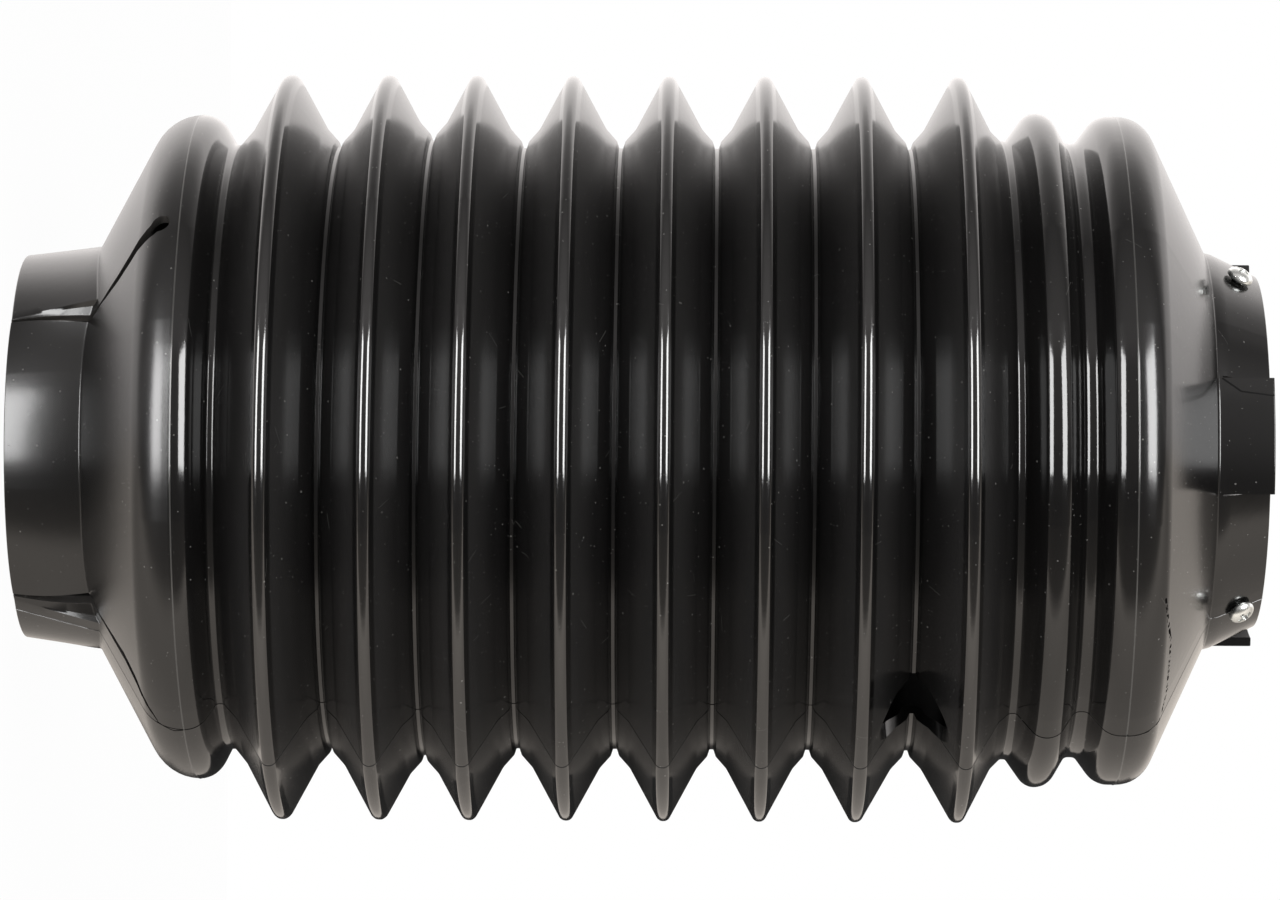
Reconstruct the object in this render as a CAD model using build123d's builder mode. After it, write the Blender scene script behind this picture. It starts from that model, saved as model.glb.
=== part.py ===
from build123d import *
import os
from math import acos, atan2, cos, degrees, hypot, radians, sin, tan

# Rubber bellows boot: one moulded bellows with a slit collar at its foot and a tabbed collar at its head,
# and the three pan-head tapping screws that pass through the head collar's flaps.
# Millimetres and degrees. +Z runs along the bellows from foot to head, the origin is the middle of the
# foot collar's rim, and angles about +Z are counted from +X.

# ---- the moulding as a whole
wall = 2.5
crest_radius = 104.0
seam_angle = 325.5

# Each height below is a rise from the feature under it, and each depth is a step in from the crests or
# from the feature beside it, so that the moulding keeps its shape when one of them changes.

# ---- foot: straight collar, cone and rounded shoulder
foot_collar_radius = 55.5
foot_collar_length = 21.0
foot_shoulder_step = 11.2
foot_shoulder_rise = 28.2
foot_cone_round = 13.0
foot_fold_round = 6.7
foot_valley_depth = 8.3
foot_valley_rise = 9.4
valley_land = 2.0

# ---- eight folds, one of which has taken a set and sits closer to the next
fold_count = 8
fold_pitch = 27.0
first_fold_gap = 0.8
set_fold = 1
set_shortfall = 2.2
crest_land = 2.7
flank_depth = 14.7
flare_slope = 1.12
flare_reach = 4.2
groove_mouth = 2.5
groove_floor = 1.7
groove_depth = 2.0

# ---- head: small round bead, neck, rounded shoulder and cone
bead_step = 10.0
bead_valley_depth = 7.7
bead_rise = 9.3
bead_round = 5.0
neck_depth = 8.4
neck_rise = 9.3
neck_land = 3.4
head_shoulder_step = 10.8
head_shoulder_rise = 10.2
head_shoulder_land = 2.2
head_fold_round = 6.2
head_cone_round = 9.5
head_cone_rise = 24.5
head_collar_radius = 55.4
head_collar_length = 14.5

# ---- foot collar's slits and the flaps between them
slit_count = 4
first_slit_angle = 230.5
slit_rim_gap = 0.6
slit_root_gap = 3.2
slit_width = 2.4
slit_cone_rise = 23.0
slit_stop_radius = 2.3
foot_flap_lean = 6.0
foot_straight_flap = 0

# ---- head collar's tabs and the flaps that lean in between them
tab_count = 3
tab_arc = 33.7
tab_slit = 0.6
head_flap_lean = 26.0
head_flap_setback = 0.4
root_ring = 1.3

# ---- round vent hole through the last valley between the folds
vent_radius = 9.4
vent_from_seam = -3.5

# ---- tapping screws through the head flaps
screw_shank_radius = 1.95
screw_hole_clearance = 0.1
screw_head_radius = 3.75
screw_head_height = 2.6
screw_head_edge = 1.1
screw_crown_radius = 1.9
screw_standoff = 0.8
screw_length = 9.5
screw_tip_length = 2.4
screw_tip_radius = 0.4
recess_span = 4.2
recess_width = 0.95
recess_depth = 1.5
recess_taper = 12.0

# ---- worked out from the sizes above
foot_shoulder_radius = crest_radius - foot_shoulder_step
foot_valley_radius = foot_shoulder_radius - foot_valley_depth
bead_radius = crest_radius - bead_step
bead_valley_radius = bead_radius - bead_valley_depth
neck_radius = bead_radius - neck_depth
head_shoulder_radius = crest_radius - head_shoulder_step

foot_shoulder_height = foot_collar_length + foot_shoulder_rise
foot_valley_height = foot_shoulder_height + foot_valley_rise
fold_heights = []
for index in range(fold_count):
    shortfall = set_shortfall if index > set_fold else 0.0
    fold_heights.append(foot_valley_height + first_fold_gap + (index + 0.5) * fold_pitch - shortfall)
flank_slope = flank_depth / (fold_pitch / 2 - flare_reach - crest_land / 2)
bead_valley_height = fold_heights[-1] + fold_pitch / 2
bead_height = bead_valley_height + bead_rise
neck_height = bead_height + neck_rise
head_shoulder_height = neck_height + head_shoulder_rise
head_root_height = head_shoulder_height + head_shoulder_land + head_cone_rise
overall_length = head_root_height + head_collar_length

slit_top_height = foot_collar_length + slit_cone_rise
tab_angles = [seam_angle + 180.0 / tab_count + index * 360.0 / tab_count for index in range(tab_count)]
screw_angles = [seam_angle + index * 360.0 / tab_count for index in range(tab_count)]
vent_height = (fold_heights[-2] + fold_heights[-1]) / 2
tool_margin = 10.0
tool_reach = crest_radius + tool_margin


def polar_point(centre, radius, angle):
    """The point of a circle at an angle, in the (radius, height) plane of the section."""
    return (centre[0] + radius * cos(radians(angle)), centre[1] + radius * sin(radians(angle)))


def touch_angle(centre, radius, point, side):
    """The angle at which a straight wall from a point touches a round; side is +1 above it, -1 below."""
    away = (point[0] - centre[0], point[1] - centre[1])
    bearing = degrees(atan2(away[1], away[0]))
    return bearing - side * degrees(acos(radius / hypot(*away)))


def rounded_shoulder(below, above, crest, land, lower_round, upper_round):
    """Draws a round shoulder from the point below to the point above, on the current line."""
    lower_centre = (crest[0] - lower_round, crest[1])
    upper_centre = (crest[0] - upper_round, crest[1] + land)
    lower_touch = touch_angle(lower_centre, lower_round, below, -1)
    upper_touch = touch_angle(upper_centre, upper_round, above, 1)
    Line(below, polar_point(lower_centre, lower_round, lower_touch))
    CenterArc(lower_centre, lower_round, lower_touch, -lower_touch)
    if land > 0:
        Line(crest, (crest[0], crest[1] + land))
    CenterArc(upper_centre, upper_round, 0, upper_touch)
    Line(polar_point(upper_centre, upper_round, upper_touch), above)


def flare_radius(half_pitch):
    """The radius at which a flank flares out towards the valley, half a pitch from its crest."""
    return crest_radius - flank_slope * (half_pitch - flare_reach - crest_land / 2)


def valley_points(middle, half_pitch):
    """The flared flanks' feet and the narrow groove of the valley between two folds."""
    break_radius = flare_radius(half_pitch)
    mouth_radius = break_radius - flare_slope * (flare_reach - groove_mouth / 2)
    rising = [
        (mouth_radius - groove_depth, middle + groove_floor / 2),
        (mouth_radius, middle + groove_mouth / 2),
        (break_radius, middle + flare_reach),
    ]
    falling = [(radius, 2 * middle - height) for radius, height in reversed(rising)]
    return falling + rising


def fold_points():
    """The sharp crests and the valleys of the folds, from the foot valley to the bead valley."""
    points = [(foot_valley_radius, foot_valley_height + valley_land / 2)]
    points.append((flare_radius(fold_pitch / 2), fold_heights[0] - fold_pitch / 2 + flare_reach))
    for index, height in enumerate(fold_heights):
        points.append((crest_radius, height - crest_land / 2))
        points.append((crest_radius, height + crest_land / 2))
        if index < fold_count - 1:
            next_height = fold_heights[index + 1]
            points.extend(valley_points((height + next_height) / 2, (next_height - height) / 2))
    points.append((flare_radius(fold_pitch / 2), fold_heights[-1] + fold_pitch / 2 - flare_reach))
    points.append((bead_valley_radius, bead_valley_height - valley_land / 2))
    return points


def flap_section(root_radius, root_height, tip_height, lean):
    """Draws a collar flap's section, bent inwards by its lean where it leaves the root ring."""
    way = 1 if tip_height > root_height else -1
    drop = abs(tip_height - root_height) * tan(radians(lean))
    inner_shift = wall / cos(radians(lean))
    miter = wall * tan(radians(lean / 2))
    Polygon(
        (root_radius, root_height),
        (root_radius - drop, tip_height),
        (root_radius - drop - inner_shift, tip_height),
        (root_radius - wall, root_height - way * miter),
        align=None,
    )


def section_plane(angle):
    """The upright half-plane through the bellows' axis at an angle."""
    turn = radians(angle)
    return Plane(origin=(0, 0, 0), x_dir=(cos(turn), sin(turn), 0), z_dir=(sin(turn), -cos(turn), 0))


def facing_plane(angle, height):
    """The upright plane that a cutter leaves outwards from the axis, with its local Y along +Z."""
    turn = radians(angle)
    return Plane(
        origin=(0, 0, height),
        x_dir=(-sin(turn), cos(turn), 0),
        z_dir=(cos(turn), sin(turn), 0),
    )


def flap_hole_plane(angle):
    """The plane on the middle of a head flap's outer face, facing out along the flap's normal."""
    turn = radians(angle)
    lean = radians(head_flap_lean)
    up_the_flap = (head_collar_length - root_ring - head_flap_setback) / 2
    radius = head_collar_radius - up_the_flap * tan(lean)
    height = head_root_height + root_ring + up_the_flap
    return Plane(
        origin=(radius * cos(turn), radius * sin(turn), height),
        x_dir=(-sin(turn), cos(turn), 0),
        z_dir=(cos(lean) * cos(turn), cos(lean) * sin(turn), sin(lean)),
    )


# ---- the moulding: one revolved wall, its two collars, the slits, the vent and the screw holes
foot_root = (foot_collar_radius, foot_collar_length)
head_root = (head_collar_radius, head_root_height)
foot_shoulder = (foot_shoulder_radius, foot_shoulder_height)
head_shoulder = (head_shoulder_radius, head_shoulder_height)
bead = (bead_radius, bead_height)
half_valley = valley_land / 2
half_neck = neck_land / 2
foot_ring_height = foot_collar_length - root_ring
head_ring_height = head_root_height + root_ring

with BuildPart() as bellows:
    with BuildSketch(Plane.XZ):
        with BuildLine():
            Line((0, -tool_reach), (foot_collar_radius, -tool_reach))
            Line((foot_collar_radius, -tool_reach), foot_root)
            rounded_shoulder(
                foot_root,
                (foot_valley_radius, foot_valley_height - half_valley),
                foot_shoulder,
                0,
                foot_cone_round,
                foot_fold_round,
            )
            Line(
                (foot_valley_radius, foot_valley_height - half_valley),
                (foot_valley_radius, foot_valley_height + half_valley),
            )
            Polyline(*fold_points())
            Line(
                (bead_valley_radius, bead_valley_height - half_valley),
                (bead_valley_radius, bead_valley_height + half_valley),
            )
            rounded_shoulder(
                (bead_valley_radius, bead_valley_height + half_valley),
                (neck_radius, neck_height - half_neck),
                bead,
                0,
                bead_round,
                bead_round,
            )
            Line((neck_radius, neck_height - half_neck), (neck_radius, neck_height + half_neck))
            rounded_shoulder(
                (neck_radius, neck_height + half_neck),
                head_root,
                head_shoulder,
                head_shoulder_land,
                head_fold_round,
                head_cone_round,
            )
            Line(head_root, (head_collar_radius, overall_length + tool_reach))
            Line((head_collar_radius, overall_length + tool_reach), (0, overall_length + tool_reach))
            Line((0, overall_length + tool_reach), (0, -tool_reach))
        make_face()
        offset(amount=-wall, kind=Kind.INTERSECTION, mode=Mode.SUBTRACT)
        with Locations((tool_reach / 2, (foot_ring_height + head_ring_height) / 2)):
            Rectangle(tool_reach, head_ring_height - foot_ring_height, mode=Mode.INTERSECT)
        with Locations((0, overall_length / 2)):
            Rectangle(2 * wall, 2 * overall_length, mode=Mode.SUBTRACT)
    revolve(axis=Axis.Z)

    # foot collar: four flaps, one straight and three that lean in
    slit_pitch = 360.0 / slit_count
    for index in range(slit_count):
        lean = 0 if index == foot_straight_flap else foot_flap_lean
        with BuildSketch(section_plane(first_slit_angle + index * slit_pitch)):
            flap_section(foot_collar_radius, foot_ring_height, 0, lean)
        revolve(axis=Axis.Z, revolution_arc=slit_pitch)

    # head collar: three straight tabs and three flaps between them that lean in
    for angle in tab_angles:
        with BuildSketch(section_plane(angle - tab_arc / 2)):
            flap_section(head_collar_radius, head_ring_height, overall_length, 0)
        revolve(axis=Axis.Z, revolution_arc=tab_arc)
    flap_gap = degrees(tab_slit / head_collar_radius)
    flap_arc = 360.0 / tab_count - tab_arc - 2 * flap_gap
    for angle in screw_angles:
        with BuildSketch(section_plane(angle - flap_arc / 2)):
            flap_section(
                head_collar_radius, head_ring_height, overall_length - head_flap_setback, head_flap_lean
            )
        revolve(axis=Axis.Z, revolution_arc=flap_arc)

    # slits: a wedge through the collar, then a narrow cut up the cone to a round stop
    for index in range(slit_count):
        with BuildSketch(facing_plane(first_slit_angle + index * slit_pitch, 0)):
            with BuildLine():
                Polyline(
                    (-slit_rim_gap / 2, -wall),
                    (slit_rim_gap / 2, -wall),
                    (slit_root_gap / 2, foot_collar_length),
                    (-slit_root_gap / 2, foot_collar_length),
                    close=True,
                )
            make_face()
            with Locations((0, slit_top_height / 2)):
                Rectangle(slit_width, slit_top_height)
            with Locations((0, slit_top_height)):
                Circle(slit_stop_radius)
        extrude(amount=tool_reach, mode=Mode.SUBTRACT)

    with BuildSketch(facing_plane(seam_angle + vent_from_seam, vent_height)):
        Circle(vent_radius)
    extrude(amount=tool_reach, mode=Mode.SUBTRACT)

    for angle in screw_angles:
        with BuildSketch(flap_hole_plane(angle)):
            Circle(screw_shank_radius + screw_hole_clearance)
        extrude(amount=2 * wall, both=True, mode=Mode.SUBTRACT)

bellows.part.label = "bellows"

os.makedirs("parts", exist_ok=True)
export_step(bellows.part, "parts/bellows.step")
print("bellows", bellows.part.volume, bellows.part.bounding_box(), len(bellows.part.solids()))

# ---- the screws: pan head with a cross recess, plain shank and a point
head_top = screw_standoff + screw_head_height
tip_height = screw_standoff - screw_length
for number, angle in enumerate(screw_angles, start=1):
    seat = flap_hole_plane(angle)
    with BuildPart() as screw:
        with BuildSketch(Plane(origin=seat.origin, x_dir=seat.x_dir, z_dir=-seat.y_dir)):
            with BuildLine():
                Polyline(
                    (0, head_top),
                    (0, tip_height),
                    (screw_tip_radius, tip_height),
                    (screw_shank_radius, tip_height + screw_tip_length),
                    (screw_shank_radius, screw_standoff),
                    (screw_head_radius, screw_standoff),
                    (screw_head_radius, screw_standoff + screw_head_edge),
                )
                EllipticalCenterArc(
                    (screw_crown_radius, screw_standoff + screw_head_edge),
                    screw_head_radius - screw_crown_radius,
                    screw_head_height - screw_head_edge,
                    start_angle=0,
                    arc_size=90,
                )
                Line((screw_crown_radius, head_top), (0, head_top))
            make_face()
        revolve(axis=Axis(seat.origin, seat.z_dir))
        with BuildSketch(seat.offset(head_top)):
            Rectangle(recess_span, recess_width)
            Rectangle(recess_width, recess_span)
        extrude(amount=-recess_depth, taper=recess_taper, mode=Mode.SUBTRACT)
    screw.part.label = f"screw_{number}"
    export_step(screw.part, f"parts/screw_{number}.step")
    print(screw.part.label, screw.part.volume, screw.part.bounding_box(), len(screw.part.solids()))
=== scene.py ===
# %% [markdown]
# # Rubber bellows boot
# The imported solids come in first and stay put: they are the frame that every finer piece is fitted to.
# A bellows boot is one moulding, so there is one large piece to make, then three tapping screws.
# %% Load the frame
import math

import bmesh
import bpy
import numpy as np
from mathutils import Matrix, Vector


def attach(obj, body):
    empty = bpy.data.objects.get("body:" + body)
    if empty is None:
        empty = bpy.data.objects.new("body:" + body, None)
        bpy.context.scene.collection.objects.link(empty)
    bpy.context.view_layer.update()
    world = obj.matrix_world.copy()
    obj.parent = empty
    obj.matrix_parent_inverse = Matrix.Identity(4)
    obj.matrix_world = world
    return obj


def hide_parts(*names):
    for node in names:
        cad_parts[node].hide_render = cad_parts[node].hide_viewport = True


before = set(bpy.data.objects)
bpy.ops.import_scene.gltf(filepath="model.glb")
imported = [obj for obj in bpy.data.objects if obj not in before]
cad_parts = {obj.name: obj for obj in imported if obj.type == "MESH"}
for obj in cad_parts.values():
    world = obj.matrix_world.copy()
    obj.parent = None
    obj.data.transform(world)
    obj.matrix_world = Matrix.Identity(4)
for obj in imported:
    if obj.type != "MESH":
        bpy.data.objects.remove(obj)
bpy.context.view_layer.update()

# %% [markdown]
# ## Sizes of the moulding
# These are the solids' own sizes in millimetres, along the axis (height) and away from it (radius). Two
# differ: the head collar's root is a little lower, because the flaps' bend starts there instead of a sharp
# crease, and the grooves between the folds are narrower, because their edges are rounded here.
# The solids have sharp corners. Moulded rubber doesn't, so each corner here also carries a rounding,
# and the rounding of the crests is what draws their two bright lines.
# %% Sizes
MM = 0.001
WALL = 2.5
LENGTH = 343.2
SEAM = 325.5
FOOT_RADIUS, FOOT_ROOT = 55.5, 21.0
HEAD_RADIUS, HEAD_ROOT = 55.4, 328.0
ROOT_RING = 1.3
FOLDS, PITCH, FIRST_FOLD, SET_FOLD, SHORTFALL = 8, 27.0, 72.9, 1, 2.2
CREST, CREST_ROUND = 104.0, 2.1
FLANK_SLOPE, FLARE_SLOPE, FLARE_REACH, FLARE_ROUND = 1.85, 1.12, 4.2, 4.0
GROOVE_MOUTH, GROOVE_FLOOR, GROOVE_DEPTH = 2.4, 1.1, 2.0
LIP_ROUND, FLOOR_ROUND = 0.35, 0.25
FOOT_ROOT_ROUND, HEAD_ROOT_ROUND, RIM_ROUND = 0.7, 0.8, 0.35
FOOT_SHOULDER, BEAD, HEAD_SHOULDER, HEAD_LAND = (92.8, 49.2), (94.0, 282.5), (93.2, 302.0), 2.2
FOOT_VALLEY, BEAD_VALLEY, NECK = (84.5, 58.6), (86.3, 273.2), (85.6, 291.8)
VALLEY_HALF, VALLEY_ROUND, NECK_HALF, NECK_ROUND = 1.0, 1.4, 1.7, 2.5
PARTINGS = [FOOT_SHOULDER, (HEAD_SHOULDER[0], HEAD_SHOULDER[1] + 1.5)]
SLITS, FIRST_SLIT, SLIT_TOP, SLIT_HALF, SLIT_STOP = 4, 230.5, 44.0, 1.2, 2.3
TABS, TAB_ARC, TAB_SLIT, HEAD_LEAN = 3, 33.7, 0.6, math.radians(26)
FOOT_CURL, FOOT_LEAN, HEAD_BEND = (math.radians(14), 95), (math.radians(6), 28.6), 5.2
FOOT_STRETCH, HEAD_STRETCH = 1.003, 1.069
BOW_OUT, BOW_UP = 6.9, 3.8
VENT_RADIUS, VENT_ANGLE, SCREW_HOLE = 9.4, SEAM - 3.5, 2.05
fold_heights = [FIRST_FOLD + n * PITCH - (SHORTFALL if n > SET_FOLD else 0) for n in range(FOLDS)]
vent_height = (fold_heights[-2] + fold_heights[-1]) / 2
slit_angles = [FIRST_SLIT + n * 360 / SLITS for n in range(SLITS)]
tab_angles = [SEAM + 180 / TABS + n * 360 / TABS for n in range(TABS)]
flap_angles = [SEAM + n * 360 / TABS for n in range(TABS)]
print("fold heights", [round(h, 1) for h in fold_heights])

# %% [markdown]
# ## The section
# A revolved wall needs one good section. It is written as corners, each (radius, height, rounding), and a
# small helper turns every corner into an arc. A straight tangent from a point to a round gives the corner
# where a cone runs into a shoulder. The inner face is the same list of corners moved in by the wall.
# %% Section helpers
def touch_point(centre, round_, point, side):
    """Where a tangent from a point touches a round."""
    away = (point[0] - centre[0], point[1] - centre[1])
    angle = math.atan2(away[1], away[0]) - side * math.acos(round_ / math.hypot(*away))
    return centre[0] + round_ * math.cos(angle), centre[1] + round_ * math.sin(angle)


def shoulder(below, above, crest, land, low_round, high_round):
    """Two corners whose roundings the straight cones from below and above run into without a bend."""
    corners = []
    ends = ((below, crest[1], low_round, -1), (above, crest[1] + land, high_round, 1))
    for point, height, round_, side in ends:
        touch = touch_point((crest[0] - round_, height), round_, point, side)
        run = (crest[0] - point[0]) / (touch[0] - point[0])
        corners.append((crest[0], point[1] + (touch[1] - point[1]) * run, round_))
    return corners


def unit(a, b):
    away = np.subtract(b[:2], a[:2])
    return away / np.linalg.norm(away)


def soften(corners, step=math.radians(9)):
    """The corners as points, each rounded by its own radius."""
    points = [corners[0][:2]]
    for before, (r, z, round_), after in zip(corners, corners[1:], corners[2:]):
        way_in, way_out = unit(before, (r, z)), unit((r, z), after)
        turn = math.atan2(way_in[0] * way_out[1] - way_in[1] * way_out[0], float(way_in @ way_out))
        if round_ <= 0 or abs(turn) < 0.01:
            points.append((r, z))
            continue
        start = np.array((r, z)) - way_in * round_ * math.tan(abs(turn) / 2)
        side = np.array((-way_in[1], way_in[0])) * math.copysign(1, turn)
        centre = start + side * round_
        steps = math.ceil(abs(turn) / step)
        for n in range(steps + 1):
            a = turn * n / steps
            spin = np.array(((math.cos(a), -math.sin(a)), (math.sin(a), math.cos(a))))
            points.append(tuple(centre + spin @ (start - centre)))
    points.append(corners[-1][:2])
    return points


def moved_in(corners, depth):
    """The corners of the inner face: every straight run moves in by the wall."""
    inner = []
    for n, (r, z, round_) in enumerate(corners):
        way_in = unit(corners[max(n - 1, 0)], corners[max(n, 1)])
        way_out = unit(corners[min(n, len(corners) - 2)], corners[min(n + 1, len(corners) - 1)])
        left_in, left_out = np.array((-way_in[1], way_in[0])), np.array((-way_out[1], way_out[0]))
        miter = (left_in + left_out) / (1 + float(left_in @ left_out))
        turn = way_in[0] * way_out[1] - way_in[1] * way_out[0]
        inner.append((*(np.array((r, z)) + miter * depth), max(round_ - math.copysign(depth, turn), 0.0)))
    return inner


def with_flash(points, radius, height, proud=0.13, reach=0.2):
    """A shoulder's outermost place gets the thin ridge that a parting line leaves."""
    ridge = [(radius, height - reach), (radius + proud, height), (radius, height + reach)]
    inside = [n for n, (r, z) in enumerate(points) if r > radius - 0.3 and abs(z - height) < reach]
    above = [n for n, (r, z) in enumerate(points) if r > radius - 0.3 and z > height]
    start = (inside or above)[0]
    return points[:start] + ridge + points[start + len(inside):]


# %% Section corners
def flare_radius(half_pitch):
    return CREST - FLANK_SLOPE * (half_pitch - FLARE_REACH - 1.35)


apex = CREST - CREST_ROUND + CREST_ROUND * math.hypot(1, FLANK_SLOPE)
foot_valley = [(FOOT_VALLEY[0], FOOT_VALLEY[1] + way * VALLEY_HALF) for way in (-1, 1)]
bead_valley = [(BEAD_VALLEY[0], BEAD_VALLEY[1] + way * VALLEY_HALF) for way in (-1, 1)]
neck = [(NECK[0], NECK[1] + way * NECK_HALF) for way in (-1, 1)]
outer = [(FOOT_RADIUS, 0.0, 0.0), (FOOT_RADIUS, FOOT_ROOT, FOOT_ROOT_ROUND)]
outer += shoulder((FOOT_RADIUS, FOOT_ROOT), foot_valley[0], FOOT_SHOULDER, 0, 13.0, 6.7)
outer += [(*corner, VALLEY_ROUND) for corner in foot_valley]
outer.append((flare_radius(PITCH / 2), fold_heights[0] - PITCH / 2 + FLARE_REACH, FLARE_ROUND))
for n, height in enumerate(fold_heights):
    outer.append((apex, height, CREST_ROUND))
    if n < FOLDS - 1:
        half = (fold_heights[n + 1] - height) / 2
        middle, wide = height + half, flare_radius(half)
        mouth = wide - FLARE_SLOPE * (FLARE_REACH - GROOVE_MOUTH / 2)
        valley = [(wide, FLARE_REACH, FLARE_ROUND), (mouth, GROOVE_MOUTH / 2, LIP_ROUND)]
        valley.append((mouth - GROOVE_DEPTH, GROOVE_FLOOR / 2, FLOOR_ROUND))
        outer += [(r, middle - reach, round_) for r, reach, round_ in valley]
        outer += [(r, middle + reach, round_) for r, reach, round_ in reversed(valley)]
outer.append((flare_radius(PITCH / 2), fold_heights[-1] + PITCH / 2 - FLARE_REACH, FLARE_ROUND))
outer += [(*corner, VALLEY_ROUND) for corner in bead_valley]
outer += shoulder(bead_valley[1], neck[0], BEAD, 0, 5.0, 5.0)
outer += [(*corner, NECK_ROUND) for corner in neck]
outer += shoulder(neck[1], (HEAD_RADIUS, HEAD_ROOT), HEAD_SHOULDER, HEAD_LAND, 6.2, 9.5)
outer += [(HEAD_RADIUS, HEAD_ROOT, HEAD_ROOT_ROUND), (HEAD_RADIUS, LENGTH, 0.0)]
inner = moved_in(outer, WALL)

foot_rim, head_rim = (FOOT_RADIUS - WALL / 2, 0.0, 0.0), (HEAD_RADIUS - WALL / 2, LENGTH, 0.0)
outer_face = [(FOOT_RADIUS, 0.0, RIM_ROUND)] + outer[1:-1] + [(HEAD_RADIUS, LENGTH, RIM_ROUND)]
inner_face = [(HEAD_RADIUS - WALL, LENGTH, RIM_ROUND)] + inner[-2:0:-1]
inner_face.append((FOOT_RADIUS - WALL, 0.0, RIM_ROUND))
section = soften([foot_rim] + outer_face + [head_rim])[:-1]
section += soften([head_rim] + inner_face + [foot_rim], math.radians(30))[:-1]
for radius, height in PARTINGS:
    section = with_flash(section, radius, height)
print("section points", len(section))

# %% [markdown]
# ## Round the axis
# Revolving by hand, column by column, leaves room for what a lathe wouldn't do: the collar flaps bend
# towards the axis, the folds sway a little, and the mould's seam gets columns of its own. Long straight
# runs are cut into shorter ones first, so that a flap has rows to bend at. The foot's flaps were pulled in
# harder than its cone gives way, so the crease above each of them bows up the cone towards the slits.
# %% Rows of the section
def cut_runs(points, longest):
    rows = []
    for here, there in zip(points, points[1:] + points[:1]):
        size = math.dist(here, there)
        in_collar = min(here[1], there[1]) < FOOT_ROOT or max(here[1], there[1]) > HEAD_ROOT
        count = max(1, math.ceil(size / longest)) if in_collar else 1
        rows += [tuple(np.array(here) + (np.array(there) - here) * n / count) for n in range(count)]
    return np.array(rows)


rows = cut_runs(section, 1.6)
print("rows", len(rows))


# %% Columns round the axis
def columns():
    angles = set(np.round(np.arange(0, 360, 3.0), 4))
    edges = slit_angles + [a + s * TAB_ARC / 2 for a in tab_angles for s in (-1, 1)]
    for a in edges:
        angles = {x for x in angles if abs((x - a + 180) % 360 - 180) > 0.6}
        angles |= {round((a + off) % 360, 4) for off in (-0.24, 0.24)}
    angles = {x for x in angles if abs((x - SEAM + 180) % 360 - 180) > 0.6}
    angles |= {round((SEAM + off) % 360, 4) for off in (-0.34, -0.15, 0.0, 0.15, 0.34)}
    return np.array(sorted(angles))


turns = columns()
print("columns", len(turns))


# %% Bend a flap
def bent(r, z, base, root, way, lean, round_, stretch):
    """A collar's points, leant in past a bend at its root. The way is 1 at the head and -1 at the foot."""
    start = root - round_ * math.tan(lean / 2)
    run = (z * way - start) * stretch
    if lean == 0:
        return r, z
    moved = run > 0
    angle = np.clip(run / round_, 0, lean)
    past = np.maximum(run - round_ * lean, 0)
    face_r = base - round_ * (1 - np.cos(angle)) - past * math.sin(lean)
    face_z = start + round_ * np.sin(angle) + past * math.cos(lean)
    new_r = np.where(moved, face_r - (base - r) * np.cos(angle), r)
    new_z = np.where(moved, face_z - (base - r) * np.sin(angle), z * way)
    return new_r, new_z * way


def near(angle, centre, half):
    return abs((angle - centre + 180) % 360 - 180) < half


def foot_bend(turn):
    """A foot flap's lean and bend: the one above the first slit only curls in a little towards its rim."""
    return FOOT_CURL if near(turn, FIRST_SLIT + 45, 45) else FOOT_LEAN


def head_lean(turn):
    """How far the head's collar leans in at an angle about the axis, in radians."""
    return 0.0 if any(near(turn, a, TAB_ARC / 2) for a in tab_angles) else HEAD_LEAN


# %% Build the wall
# Each row is a height, then how far the wall is shifted along the axis: all round, at the top, at the front.
fold_sways = zip(
    fold_heights,
    (0.3, 0.4, 0.3, 0.2, 0.1, -0.2, -0.4, 0.1),
    (0.9, 1.0, 0.7, 0.6, 0.4, 0.4, 0.5, -0.3),
    (0.3, 0.45, 0.45, 0.35, 0.3, 0.15, -0.15, 0.3))
SWAYS = [(40, 0, 0, 0), (49, 0, 0, 0), *fold_sways]
SWAYS += [(282.5, -1.3, -0.3, 1.3), (303, -0.3, -0.4, 0.3), (318, 0, 0, 0)]


def sway(z, turn):
    """The folds of a soft moulding never stand quite square: each leans a little its own way."""
    heights, level, top, front = zip(*SWAYS)
    a = math.radians(270 - turn)
    shifts = np.array(level) + np.array(top) * math.sin(a) + np.array(front) * math.cos(a)
    return np.interp(z, heights, shifts)


def crease_bow(z, turn):
    """How far the foot's crease climbs its cone, as a shift away from the axis and one along it."""
    off = abs((turn - FIRST_SLIT) % 90 - 45) / 45
    share = 0.7 * off ** 8 if near(turn, FIRST_SLIT + 45, 45) else off ** 1.3
    weight = np.where(z < FOOT_ROOT + 3, np.minimum(0.15 + 0.85 * z / FOOT_ROOT, 1), 0)
    return BOW_OUT * share * weight, BOW_UP * share * weight


def seam_lift(turn, count):
    """The seam: a hairline groove between two low lips, uneven from row to row."""
    off = (turn - SEAM + 180) % 360 - 180
    if abs(off) > 0.2:
        return np.zeros(count)
    draws = np.random.default_rng(100 + round(off * 100)).random(count)
    return -0.16 - 0.06 * draws if abs(off) < 0.05 else 0.02 + 0.07 * draws


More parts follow.
